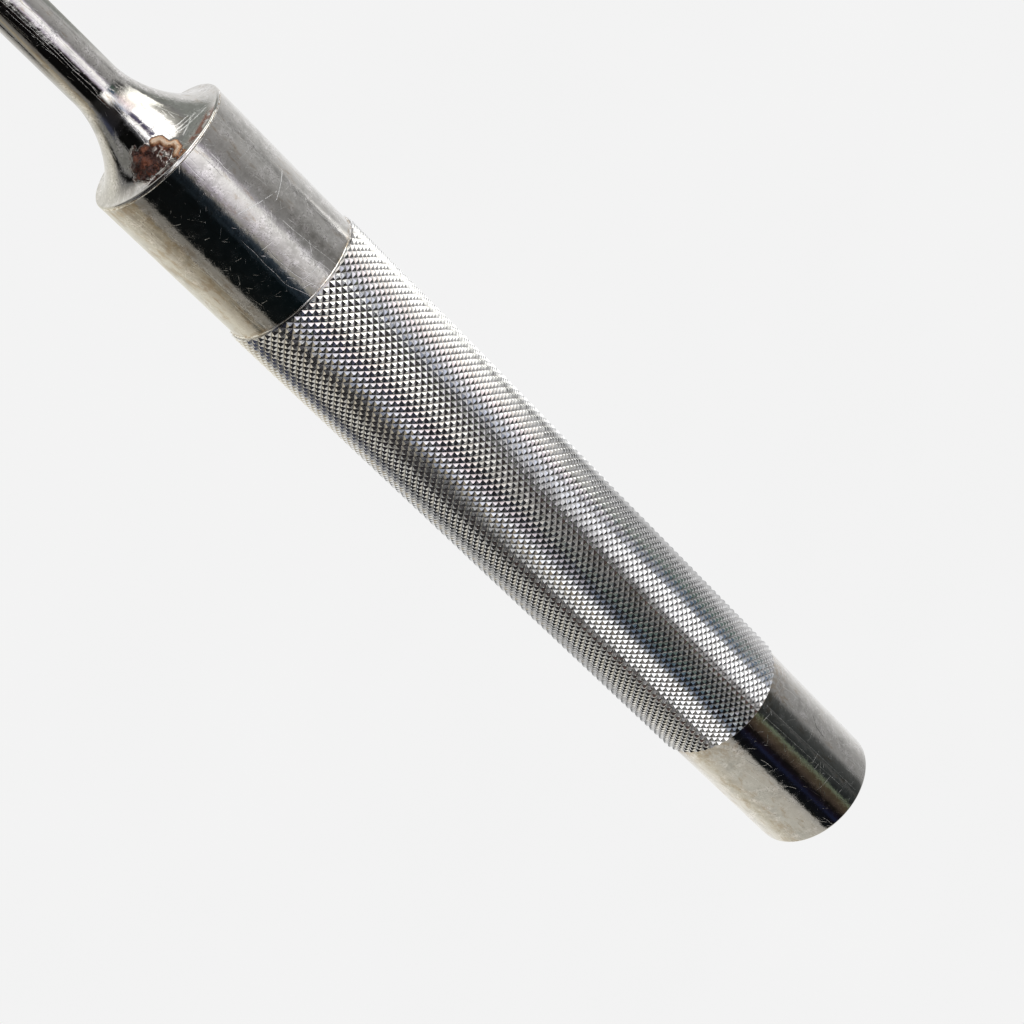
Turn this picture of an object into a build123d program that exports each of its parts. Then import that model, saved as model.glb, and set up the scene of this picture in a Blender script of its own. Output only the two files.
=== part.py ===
from build123d import *
import os

# Dental elevator: a straight gouge blade on a round shank, in a hollow knurled handle.
# Frame, in millimetres: the origin is the centre of the butt's end face, +X runs along the
# instrument to the blade's tip, and +Z is up, on the side of the blade's hollow.

os.makedirs("parts", exist_ok=True)

# Handle, outside
smooth_dia = 12.0
knurl_dia = 12.5
butt_length = 15.3
grip_length = 56.0
collar_length = 14.0
butt_edge_radius = 0.3
grip_edge_chamfer = 0.1
seam_groove = 0.1
seam_fillet = 0.15

# Handle, inside: the core tube lines up the butt cap, the grip and the collar
core_dia = 9.0
core_bore_dia = 7.0
core_depth_in_butt = 11.0
spigot_length = 5.0
tang_length = 12.0
tang_lead_in = 0.8
pin_dia = 1.5
pin_length = 8.8
pin_setback = 4.0

# Working end
shank_dia = 3.9
flare_length = 6.4
flare_shank_pull = 2.5
flare_rim_pull = 1.85
flare_edge_round = 0.15
reach = 68.7
blade_length = 27.0
blade_dia = 3.5
nose_length = 5.5
nose_end_dia = 1.0
hollow_dia = 4.8
hollow_floor_at_tip = -0.55
hollow_floor_at_runout = -0.15
hollow_straight_length = 15.0
hollow_runout_radius = 22.0
hollow_runout_turn = 26.0
tool_overrun = 3.0

# Stations along X
grip_start = butt_length
collar_start = grip_start + grip_length
rim = collar_start + collar_length
core_start = butt_length - core_depth_in_butt
core_end = rim - spigot_length
pin_station = core_end - pin_setback
flare_end = rim + flare_length
tip = rim + reach
blade_start = tip - blade_length
nose_start = tip - nose_length
nose_middle = tip - nose_length / 2

smooth_radius = smooth_dia / 2
knurl_radius = knurl_dia / 2
core_radius = core_dia / 2
core_bore_radius = core_bore_dia / 2
shank_radius = shank_dia / 2
blade_radius = blade_dia / 2
nose_end_radius = nose_end_dia / 2
hollow_radius = hollow_dia / 2
pin_radius = pin_dia / 2
floor_slope = (hollow_floor_at_runout - hollow_floor_at_tip) / hollow_straight_length

# Butt cap: a smooth end with a blind bore for the core tube
with BuildPart() as butt_cap:
    with BuildSketch(Plane.YZ):
        Circle(smooth_radius)
    extrude(amount=butt_length)
    fillet(butt_cap.faces().sort_by(Axis.X)[0].edges(), butt_edge_radius)
    with BuildSketch(Plane.YZ.offset(core_start)):
        Circle(core_radius)
    extrude(amount=core_depth_in_butt, mode=Mode.SUBTRACT)
butt_cap.part.label = "butt_cap"
export_step(butt_cap.part, "parts/butt_cap.step")

# Grip sleeve: the knurled tube, drawn over the knurl's crests
with BuildPart() as grip_sleeve:
    with BuildSketch(Plane.YZ.offset(grip_start)):
        Circle(knurl_radius)
        Circle(core_radius, mode=Mode.SUBTRACT)
    extrude(amount=grip_length)
    crest_edges = grip_sleeve.edges().filter_by(GeomType.CIRCLE).group_by(SortBy.RADIUS)[-1]
    chamfer(crest_edges, grip_edge_chamfer)
grip_sleeve.part.label = "grip_sleeve"
export_step(grip_sleeve.part, "parts/grip_sleeve.step")

# Front collar: the smooth ferrule, with half of the solder groove at its front edge
with BuildPart() as front_collar:
    with BuildSketch(Plane.YZ.offset(collar_start)):
        Circle(smooth_radius)
        Circle(core_radius, mode=Mode.SUBTRACT)
    extrude(amount=collar_length)
    front_edges = front_collar.faces().sort_by(Axis.X)[-1].edges()
    chamfer(front_edges.sort_by(SortBy.RADIUS)[-1], seam_groove)
front_collar.part.label = "front_collar"
export_step(front_collar.part, "parts/front_collar.step")

# Core tube: runs from the butt cap's bore to the spigot, with a cross hole for the pin
with BuildPart() as core_tube:
    with BuildSketch(Plane.YZ.offset(core_start)):
        Circle(core_radius)
        Circle(core_bore_radius, mode=Mode.SUBTRACT)
    extrude(amount=core_end - core_start)
    with BuildSketch(Plane.XZ):
        with Locations((pin_station, 0)):
            Circle(pin_radius)
    extrude(amount=core_radius, both=True, mode=Mode.SUBTRACT)
core_tube.part.label = "core_tube"
export_step(core_tube.part, "parts/core_tube.step")

# Tang pin: a cross pin through the core tube and the tang, trapped inside the collar
with BuildPart() as tang_pin:
    with BuildSketch(Plane.XZ):
        with Locations((pin_station, 0)):
            Circle(pin_radius)
    extrude(amount=pin_length / 2, both=True)
tang_pin.part.label = "tang_pin"
export_step(tang_pin.part, "parts/tang_pin.step")

# Working end: one forging of tang, spigot, flare, shank and gouge blade
with BuildPart() as working_end:
    with BuildSketch(Plane.XY):
        with BuildLine():
            tang_back = core_end - tang_length
            Polyline(
                (tip, 0),
                (tang_back, 0),
                (tang_back, core_bore_radius - tang_lead_in),
                (tang_back + tang_lead_in, core_bore_radius),
                (core_end, core_bore_radius),
                (core_end, core_radius),
                (rim, core_radius),
                (rim, smooth_radius - seam_groove),
                (rim + seam_groove, smooth_radius),
            )
            edge_x = rim + seam_groove + flare_edge_round
            edge_y = smooth_radius - flare_edge_round
            RadiusArc((rim + seam_groove, smooth_radius), (edge_x, edge_y), flare_edge_round)
            Bezier(
                (edge_x, edge_y),
                (edge_x, edge_y - flare_rim_pull),
                (flare_end - flare_shank_pull, shank_radius),
                (flare_end, shank_radius),
            )
            Line((flare_end, shank_radius), (blade_start, shank_radius))
            Line((blade_start, shank_radius), (nose_start, blade_radius))
            Bezier(
                (nose_start, blade_radius),
                (nose_middle, blade_radius),
                (tip, nose_end_dia),
                (tip, nose_end_radius),
            )
            Line((tip, nose_end_radius), (tip, 0))
        make_face()
    revolve(axis=Axis.X)
    # The hollow is ground by a round tool that dips in from the shank and runs out at the tip
    with BuildLine(Plane.XZ) as tool_path:
        exit_floor = hollow_floor_at_tip - floor_slope * tool_overrun
        tool_exit = (tip + tool_overrun, exit_floor + hollow_radius)
        tool_dip = (tip - hollow_straight_length, hollow_floor_at_runout + hollow_radius)
        floor_line = Line(tool_exit, tool_dip)
        JernArc(tool_dip, floor_line % 1, hollow_runout_radius, -hollow_runout_turn)
    with BuildSketch(Plane(origin=tool_path.line @ 0, z_dir=tool_path.line % 0)):
        Circle(hollow_radius)
    sweep(path=tool_path.line, mode=Mode.SUBTRACT)
    with BuildSketch(Plane.XZ):
        with Locations((pin_station, 0)):
            Circle(pin_radius)
    extrude(amount=core_radius, both=True, mode=Mode.SUBTRACT)
working_end.part.label = "working_end"
export_step(working_end.part, "parts/working_end.step")

# Rim solder ring: fills the V between the flare and the collar
with BuildPart() as rim_solder_ring:
    with BuildSketch(Plane.XY):
        with BuildLine():
            Polyline(
                (rim - seam_groove, smooth_radius),
                (rim, smooth_radius - seam_groove),
                (rim + seam_groove, smooth_radius),
                close=True,
            )
        make_face()
    revolve(axis=Axis.X)
rim_solder_ring.part.label = "rim_solder_ring"
export_step(rim_solder_ring.part, "parts/rim_solder_ring.step")

# Seam rings: solder fillets where the grip stands proud of the collar and the butt cap
seams = {"collar_solder_ring": (collar_start, 1), "butt_solder_ring": (grip_start, -1)}
for ring_name, (seam, outward) in seams.items():
    with BuildPart() as seam_ring:
        with BuildSketch(Plane.XY):
            with BuildLine():
                Polyline(
                    (seam, smooth_radius),
                    (seam + outward * seam_fillet, smooth_radius),
                    (seam, smooth_radius + seam_fillet),
                    close=True,
                )
            make_face()
        revolve(axis=Axis.X)
    seam_ring.part.label = ring_name
    export_step(seam_ring.part, f"parts/{ring_name}.step")
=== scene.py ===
import math

import bpy
from bpy.props import FloatProperty, FloatVectorProperty, IntProperty, PointerProperty
from mathutils import Euler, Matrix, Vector, noise
from mathutils.geometry import interpolate_bezier, intersect_point_line


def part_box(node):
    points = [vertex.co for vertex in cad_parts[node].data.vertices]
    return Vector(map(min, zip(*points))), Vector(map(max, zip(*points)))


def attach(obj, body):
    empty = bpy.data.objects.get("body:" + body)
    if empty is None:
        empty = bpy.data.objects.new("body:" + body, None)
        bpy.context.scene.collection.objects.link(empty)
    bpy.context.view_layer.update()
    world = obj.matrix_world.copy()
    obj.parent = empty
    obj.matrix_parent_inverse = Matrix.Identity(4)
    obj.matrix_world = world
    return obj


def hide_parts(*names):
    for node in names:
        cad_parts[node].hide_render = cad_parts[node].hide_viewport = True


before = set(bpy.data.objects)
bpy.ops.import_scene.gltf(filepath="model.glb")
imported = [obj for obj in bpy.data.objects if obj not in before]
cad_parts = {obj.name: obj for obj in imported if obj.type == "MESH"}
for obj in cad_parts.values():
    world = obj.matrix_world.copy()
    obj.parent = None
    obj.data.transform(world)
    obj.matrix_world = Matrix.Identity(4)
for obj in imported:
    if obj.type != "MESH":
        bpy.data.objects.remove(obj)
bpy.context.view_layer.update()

bl_info = {
    "name": "Dental Elevator",
    "version": (1, 0, 0),
    "blender": (4, 5, 0),
    "location": "View3D > Sidebar > Elevator",
    "description": "Builds a straight dental elevator around its packed CAD model",
    "category": "Add Mesh",
}

MM = 0.001
BLACK, WHITE = (0.0, 0.0, 0.0), (1.0, 1.0, 1.0)

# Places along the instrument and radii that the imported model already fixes
GRIP_START, COLLAR_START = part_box("grip_sleeve")[0].x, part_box("grip_sleeve")[1].x
RIM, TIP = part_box("front_collar")[1].x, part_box("working_end")[1].x
CORE_START, CORE_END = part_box("core_tube")[0].x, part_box("core_tube")[1].x
TANG_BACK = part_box("working_end")[0].x
KNURL_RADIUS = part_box("grip_sleeve")[1].z
SMOOTH_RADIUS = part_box("front_collar")[1].z
CORE_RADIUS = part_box("core_tube")[1].z
SEAM_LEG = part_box("collar_solder_ring")[1].x - COLLAR_START
RIM_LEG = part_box("rim_solder_ring")[1].x - RIM

# How finely the pieces are made, and how uneven handwork leaves them
SHARP_ANGLE = math.radians(28.0)
FLARE_POINTS, NOSE_POINTS = 72, 90
BLADE_STEP, SHANK_STEP, HANDLE_STEP = 0.25 * MM, 0.8 * MM, 0.5 * MM
EDGE_BREAK = 0.05 * MM
TURNED_WOBBLE, BEAD_WOBBLE, CREST_WEAR = 0.004 * MM, 0.012 * MM, 0.02 * MM
WOBBLE_SCALE, WEAR_SCALE = 0.35 / MM, 2.1 / MM
THINNEST = 0.02 * MM


# ---------------------------------------------------------------- settings


def length(name, description, default):
    return FloatProperty(name=name, description=description, default=default, unit="LENGTH", precision=5)


def angle(name, description, degrees):
    default = math.radians(degrees)
    return FloatProperty(name=name, description=description, default=default, subtype="ANGLE")


def count(name, description, default):
    return IntProperty(name=name, description=description, default=default, min=12)


def share(name, description, default):
    return FloatProperty(
        name=name, description=description, default=default, min=0.0, max=1.0, subtype="FACTOR"
    )


def colour(name, description, default):
    return FloatVectorProperty(
        name=name, description=description, default=default, size=3, min=0.0, max=1.0, subtype="COLOR"
    )


class ElevatorSizes(bpy.types.PropertyGroup):
    """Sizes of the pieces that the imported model's boxes don't give"""

    shank_radius: length("Shank radius", "Radius of the round shank", 1.95 * MM)
    blade_radius: length("Blade radius", "Outer radius of the gouge behind its nose", 1.75 * MM)
    blade_length: length("Blade length", "Taper and gouge together", 27.0 * MM)
    flare_length: length("Flare length", "From the collar's rim to the straight shank", 6.4 * MM)
    flare_shank_pull: length("Flare pull at the shank", "How gently it leaves the shank", 2.5 * MM)
    flare_rim_pull: length("Flare pull at the rim", "How deep it stays under the rim", 1.85 * MM)
    edge_round: length("Flare edge round", "Radius of the flare's outer edge", 0.15 * MM)
    tang_radius: length("Tang radius", "Radius of the hidden tang", 3.5 * MM)
    tang_lead_in: length("Tang lead-in", "Chamfer at the back of the tang", 0.8 * MM)
    nose_length: length("Nose length", "Rounded end of the blade", 5.5 * MM)
    nose_end_radius: length("Nose end radius", "Radius of the blade's blank at its tip", 0.5 * MM)
    hollow_radius: length("Hollow radius", "Radius of the tool that grinds the hollow", 2.4 * MM)
    hollow_floor_tip: length("Hollow floor at the tip", "Height over the axis", -0.55 * MM)
    hollow_floor_back: length("Hollow floor at the run-out", "Height over the axis", -0.15 * MM)
    hollow_straight: length("Straight hollow", "Length before the run-out", 15.0 * MM)
    hollow_runout: length("Run-out radius", "Radius of the hollow's run-out", 22.0 * MM)
    butt_round: length("Butt edge round", "Radius of the butt's edge", 0.3 * MM)
    knurl_depth: length("Knurl depth", "From the crests to the grooves", 0.15 * MM)
    knurl_land: length("Knurl land", "Plain strip at each end of the knurl", 0.12 * MM)
    knurl_flat: share("Knurl flat", "Share of each diamond that is flat on top", 0.16)
    knurl_starts: count("Knurl starts", "Ridges round the grip", 52)
    knurl_rows: count("Knurl rows", "Diamonds along the grip", 80)
    roundness: count("Roundness", "Points round each turned piece", 256)


class ElevatorFinishes(bpy.types.PropertyGroup):
    """Colours and wear of the finishes"""

    steel: colour("Polished steel", "Worn mirror polish", (0.62, 0.605, 0.58))
    # The stain colour is also painted over the lower side of the collar and the butt as a reflection of the
    # warm floor.
    stain: colour("Stain", "Brown film in the wear and by the seams", (0.36, 0.27, 0.17))
    knurl: colour("Knurled steel", "Bright knurl", (0.88, 0.88, 0.89))
    groove: colour("Groove dirt", "Film in the knurl's grooves", (0.30, 0.28, 0.26))
    solder: colour("Solder", "Bright silver solder", (0.90, 0.89, 0.87))
    inner: colour("Inner steel", "Turned, never polished", (0.42, 0.42, 0.43))
    # Dark rust: the scab's own dark scale, also used as painted shade in the creases and where the lumps
    # sink.
    dark_rust_and_crease_shade: colour("Dark rust", "Thick scale", (0.045, 0.012, 0.008))
    rust_red: colour("Red rust", "Body of the scab", (0.155, 0.046, 0.022))
    # Orange rust, also painted as highlights on the tops of the folds and as the shaded foot of the ridge.
    orange_rust_and_painted_light: colour("Orange rust", "Tops of the scab", (0.32, 0.115, 0.048))
    rust_tan: colour("Tan rust", "Fresh ridge at the scab's end", (0.74, 0.44, 0.25))
    # Painted highlight along the crest of the rust ridge.
    painted_ridge_highlight: colour("Rust crest", "Palest line along the ridge", (0.92, 0.76, 0.60))
    rust_speck: colour("Rust speck", "Mineral specks in the scab", (0.80, 0.74, 0.68))
    rust_crack: colour("Rust crack", "Deep cracks in the scab", (0.010, 0.004, 0.003))
    rust_bleed: colour("Rust bleed", "Thin rust round the scab and under the rim", (0.20, 0.06, 0.025))
    grey_film: colour("Grey film", "Cloudy patches where the polish is dull", (0.26, 0.25, 0.235))
    pale_scuff: colour("Pale scuff", "Patches that handling has rubbed bright", (0.96, 0.92, 0.93))
    dull_grain: colour("Dull grain", "Fine dark grain in the worn patches", (0.17, 0.16, 0.15))
    bare_fleck: colour("Bare fleck", "Tiny bright facets in the scuffs", (1.0, 0.99, 0.98))
    pit: colour("Pit", "Small dark corrosion pits", (0.05, 0.045, 0.04))
    scratch: colour("Scratch", "Fine scratches all over", (0.96, 0.96, 0.95))
    fresh_cut: colour("Fresh cut", "Deep fresh scratches", (1.0, 1.0, 0.99))
    flare_stroke: colour("Flare stroke", "Strokes across the flare", (1.0, 1.0, 0.98))
    dark_cut: colour("Dark cut", "A deep scratch that has filled with dirt", (0.05, 0.05, 0.05))
    gloss: share("Polish roughness", "Roughness of the smooth steel", 0.045)
    scratch_depth: share("Scratch depth", "Strength of the scratches' relief", 0.25)


class ElevatorStudio(bpy.types.PropertyGroup):
    """Camera, floor and light tent"""

    lens: FloatProperty(name="Lens", description="Focal length in millimetres", default=76.1, min=1.0)
    distance: length("Camera distance", "From the camera to what it looks at", 176.09 * MM)
    heading: angle("Heading", "Turn of the camera about the vertical", 105.444)
    tilt: angle("Tilt", "Lean of the camera away from straight down", 31.931)
    roll: angle("Roll", "Turn of the camera about its own line of sight", 116.168)
    target: FloatVectorProperty(
        name="Target", description="Where the camera looks", size=3, unit="LENGTH",
        default=(43.13 * MM, 1.04 * MM, -0.17 * MM),
    )
    floor_size: length("Floor size", "Side of the square floor", 6.0)
    tent_radius: length("Tent radius", "Radius of the light tent", 0.3)
    tent_length: length("Tent length", "Length of the light tent", 1.6)
    paper: share("Paper brightness", "Brightness of floor and backdrop", 0.896)


# ---------------------------------------------------------------- shader bench


class Strand:
    """A shader socket that Python's operators work on: each one adds its own node."""

    def __init__(self, bench, socket):
        self.bench = bench
        self.socket = socket

    def _join(self, operation, first, second):
        return self.bench.add("ShaderNodeMath", {"operation": operation}, {0: first, 1: second})

    def __add__(self, other):
        return self._join("ADD", self, other)

    def __radd__(self, other):
        return self._join("ADD", other, self)

    def __sub__(self, other):
        return self._join("SUBTRACT", self, other)

    def __rsub__(self, other):
        return self._join("SUBTRACT", other, self)

    def __mul__(self, other):
        return self._join("MULTIPLY", self, other)

    def __rmul__(self, other):
        return self._join("MULTIPLY", other, self)

    def __truediv__(self, other):
        return self._join("DIVIDE", self, other)

    def __pow__(self, other):
        return self._join("POWER", self, other)

    def __abs__(self):
        return self._join("ABSOLUTE", self, 0.0)

    def at_most(self, other):
        return self._join("MINIMUM", self, other)

    def at_least(self, other):
        return self._join("MAXIMUM", self, other)

    def step(self, start, end):
        """0 before start and 1 after end, smooth between; start may be the larger."""
        return self.bench.add(
            "ShaderNodeMapRange",
            {"interpolation_type": "SMOOTHSTEP"},
            {"Value": self, "From Min": start, "From Max": end},
        )


class Bench:
    """Makes and joins the nodes of one material or world."""

    def __init__(self, tree):
        self.tree = tree
        tree.nodes.clear()

    def add(self, kind, settings=None, values=None, output=0):
        node = self.tree.nodes.new(kind)
        for name, setting in (settings or {}).items():
            if name == "stops":
                self._set_stops(node.color_ramp, setting)
            else:
                setattr(node, name, setting)
        for key, value in (values or {}).items():
            if isinstance(value, Strand):
                self.tree.links.new(value.socket, node.inputs[key])
            elif value is not None:
                node.inputs[key].default_value = value
        return Strand(self, node.outputs[output]) if node.outputs else node

    @staticmethod
    def _set_stops(ramp, stops):
        while len(ramp.elements) < len(stops):
            ramp.elements.new(1.0)
        for element, (position, tint) in zip(ramp.elements, stops):
            element.position = position
            element.color = (*tint, 1.0)

    def place(self):
        """Where a point is in the row frame, in millimetres."""
        point = self.add("ShaderNodeTexCoord", output=3)
        return self.add(
            "ShaderNodeVectorMath", {"operation": "SCALE"}, {"Vector": point, "Scale": 1 / MM}
        )

    def parts(self, vector):
        """The x, y and z of a vector."""
        first = self.add("ShaderNodeSeparateXYZ", values={0: vector})
        outputs = first.socket.node.outputs
        return [Strand(self, outputs[axis]) for axis in range(3)]

    def stretch(self, vector, scale):
        """The same place in a stretched frame."""
        return self.add("ShaderNodeMapping", values={"Vector": vector, "Scale": scale})

    def vector(self, x, y, z):
        """Three numbers as one vector."""
        return self.add("ShaderNodeCombineXYZ", values={0: x, 1: y, 2: z})

    def cloud(self, vector, scale, detail=2.0, rough=0.5):
        """Soft noise between 0 and 1."""
        return self.add(
            "ShaderNodeTexNoise",
            values={"Vector": vector, "Scale": scale, "Detail": detail, "Roughness": rough},
        )

    def blend(self, amount, first, second):
        """From the first colour to the second."""
        first, second = (x if isinstance(x, Strand) else (*x, 1.0) for x in (first, second))
        settings = {"data_type": "RGBA", "blend_type": "MIX", "clamp_factor": True}
        return self.add("ShaderNodeMix", settings, {0: amount, 6: first, 7: second}, output=2)

    def coats(self, tone, *layers):
        """A colour with thin coats over it, each given as (how much, colour)."""
        for amount, coat in layers:
            tone = self.blend(amount, tone, coat)
        return tone

    def bump(self, height, strength, depth, under=None):
        values = {"Height": height, "Strength": strength, "Distance": depth, "Normal": under}
        return self.add("ShaderNodeBump", values=values)

    def surface(self, values):
        """Ends a material in a surface with these values."""
        shader = self.add("ShaderNodeBsdfPrincipled", values=values)
        self.add("ShaderNodeOutputMaterial", values={"Surface": shader})


def new_bench(name):
    """A new material and the bench that its nodes are made on."""
    material = bpy.data.materials.new(name)
    material.use_nodes = True
    return material, Bench(material.node_tree)


def strongest(masks):
    """The largest of several masks at each place."""
    most, *others = masks
    for mask in others:
        most = most.at_least(mask)
    return most


def unrolled(bench, place):
    """Distance along the instrument and round it, as if the handle's skin lay flat."""
    x, y, z = bench.parts(place)
    turn = bench.add("ShaderNodeMath", {"operation": "ARCTAN2"}, {0: y, 1: z})
    return x, turn * (SMOOTH_RADIUS / MM)


# How far and how often a lane of scratches bends, where in its lane a scratch may lie, and how far
# apart the lanes are in the noise that breaks them up
LANE_BEND, LANE_BEND_SCALE = 3.0, 0.12
LANE_MARGIN, LANE_ROOM = 0.2, 0.6
LANE_GAP, LANE_FADE = 5.3, 0.05


def scratches(bench, along, around, slant, spacing, reach, width, start, seed):
    """Fine scratches in lanes that bend a little; start is the share of each lane left plain."""
    lean = math.radians(slant)
    run_on = along * math.cos(lean) + around * math.sin(lean)
    across = around * math.cos(lean) - along * math.sin(lean)
    bend = bench.cloud(bench.vector(run_on * LANE_BEND_SCALE, across * LANE_BEND_SCALE, seed), 1.0)
    lanes = (across + (bend - 0.5) * LANE_BEND) / spacing
    lane = bench.add("ShaderNodeMath", {"operation": "FLOOR"}, {0: lanes})
    own = bench.add("ShaderNodeTexWhiteNoise", {"noise_dimensions": "1D"}, {"W": lane + seed})
    line = abs(lanes - lane - LANE_MARGIN - own * LANE_ROOM).step(width / spacing, 0.0)
    present = bench.cloud(bench.vector(run_on / reach, lane * LANE_GAP, seed), 1.0, 1.0)
    return line * present.step(start, start + LANE_FADE)


def cuts(bench, along, around, origin, lines):
    """Scratches that stand out; a line is (start, turn, end, turn, width), in millimetres from origin."""
    return strongest(
        nick(bench, along, around, (origin + start, start_turn), (origin + end, end_turn), width)
        for start, start_turn, end, end_turn, width in lines
    )


def nick(bench, along, around, start, end, width):
    """One scratch between two places, each given along the instrument and by its angle round it."""
    first, last = (Vector((spot, math.radians(turn) * SMOOTH_RADIUS / MM)) for spot, turn in (start, end))
    span = last - first
    from_x, from_y = along - first.x, around - first.y
    part = ((from_x * span.x + from_y * span.y) / span.length_squared).at_least(0.0).at_most(1.0)
    off_x, off_y = from_x - part * span.x, from_y - part * span.y
    return (off_x * off_x + off_y * off_y).step(width * width, 0.0)


# ---------------------------------------------------------------- finishes

# Four families of fine scratches: slant in degrees, spacing, reach and width, share left plain, seed
SCRATCH_FAMILIES = (
    (4.0, 0.62, 5.0, 0.030, 0.57, 3.7),
    (78.0, 0.62, 1.5, 0.030, 0.62, 11.3),
    (37.0, 0.50, 1.2, 0.028, 0.62, 23.1),
    (-42.0, 0.58, 1.5, 0.028, 0.62, 41.9),
)
# Deep scratches, on the collar and the flare from the rim, and on the butt from the end of the grip
COLLAR_FORK = ((-6.6, -49.0, -7.2, -23.0, 0.055), (-6.9, -28.0, -5.6, 4.0, 0.045))
BUTT_CURL = ((-6.4, -40.0, -7.1, -33.0, 0.05), (-7.1, -33.0, -8.3, -31.0, 0.05))
BUTT_LINES = ((-0.6, -13.0, -14.5, -15.5, 0.05), (-1.2, -5.0, -12.9, -9.0, 0.04))
FLARE_STROKES = (
    (1.15, -13.0, 0.75, -41.0, 0.05),
    (0.95, -16.0, 0.42, -48.0, 0.045),
    (1.25, -20.0, 1.0, -36.0, 0.04),
    (0.70, -13.0, 0.82, -33.0, 0.045),
)
# Depths of relief
WAVE_DEPTH, CUT_DEPTH, SCAB_DEPTH = 0.035 * MM, 0.02 * MM, 0.14 * MM
KNURL_GRAIN_DEPTH, FILE_DEPTH = 0.012 * MM, 0.02 * MM


def worn_polish(bench, finishes):
    """Colour, roughness and relief of a mirror polish that has been handled for years."""
    place = bench.place()
    along, around = unrolled(bench, place)
    drift = bench.cloud(place, 0.45, 2.0)
    mottle = bench.cloud(place, 1.3, 6.0, 0.64)
    fine = bench.cloud(place, 6.0, 4.0, 0.75)
    smear = bench.cloud(bench.stretch(place, (0.3, 1.0, 1.0)), 1.9, 5.0, 0.7)
    marks = strongest(scratches(bench, along, around, *family) for family in SCRATCH_FAMILIES)
    marks = marks * (0.35 + fine.step(0.36, 0.58) * 0.65)
    worn = 0.25 + drift.step(0.40, 0.58) * 0.75
    scuffed = mottle.step(0.46, 0.62) * drift.step(0.34, 0.54)
    fleck = fine.step(0.58, 0.68) * scuffed
    dull = fine.step(0.48, 0.36) * mottle.step(0.42, 0.56)
    cells = bench.add("ShaderNodeTexVoronoi", {"feature": "F1"}, {"Vector": place, "Scale": 2.1})
    pits = cells.step(0.085, 0.04) * bench.cloud(place, 0.6, 1.0).step(0.56, 0.62)
    tone = bench.coats(
        finishes.steel,
        (smear.step(0.52, 0.70) * drift.step(0.58, 0.42) * 0.6, finishes.stain),
        (mottle.step(0.54, 0.34) * worn * 0.42, finishes.grey_film),
        (mottle.step(0.50, 0.68) * worn * 0.50, finishes.pale_scuff),
        (dull * worn * 0.70, finishes.dull_grain),
        (fleck * 0.85, finishes.bare_fleck),
        (pits * 0.9, finishes.pit),
        (marks * 0.65, finishes.scratch),
    )
    roughness = finishes.gloss + scuffed * 0.07 + dull * 0.09 + fleck * 0.22 + marks * 0.25 + pits * 0.3
    waves = bench.bump(mottle * 0.6 + scuffed * fine * 0.22, 0.45, WAVE_DEPTH)
    normal = bench.bump(0.0 - marks - pits, finishes.scratch_depth, CUT_DEPTH, waves)
    return place, tone, roughness, normal


def polished_steel(finishes):
    """The handle's smooth ends: worn polish, brown at the seams, with the deep scratches, and a brown tint
    painted on the lower side as a reflection of the warm floor.
    """
    material, bench = new_bench("worn_polish")
    place, tone, roughness, normal = worn_polish(bench, finishes)
    along, around = unrolled(bench, place)
    rim, collar, butt = RIM / MM, COLLAR_START / MM, GRIP_START / MM
    ragged = bench.cloud(place, 2.2, 4.0, 0.6)
    seam = abs(along - collar).step(0.50, 0.0) + abs(along - butt).step(3.6, 0.2) * 0.6
    film = bench.cloud(bench.stretch(place, (0.7, 1.0, 1.0)), 0.9, 5.0, 0.65)
    # The lower side, where a brown tint in cloudy patches is painted as a reflection of the warm floor.
    low_side_painted_reflection = around.step(3.0, 6.0)
    fork = cuts(bench, along, around, rim, COLLAR_FORK) * ragged.step(0.36, 0.46)
    curl = cuts(bench, along, around, butt, BUTT_CURL)
    ruled = cuts(bench, along, around, butt, BUTT_LINES)
    tone = bench.coats(
        tone,
        (seam * ragged.step(0.42, 0.62) * 0.8, finishes.stain),
        # Painted reflection: the stain colour over the lower side, broken up by the film cloud.
        (low_side_painted_reflection * film.step(0.50, 0.66) * 0.5, finishes.stain),
        ((fork + ruled * 0.35) * 0.9, finishes.fresh_cut),
        (curl * 0.75, finishes.dark_cut),
    )
    roughness = roughness + fork * 0.4 + ruled * 0.2 + curl * 0.3
    bench.surface({"Base Color": tone, "Metallic": 1.0, "Roughness": roughness, "Normal": normal})
    return material


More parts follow.
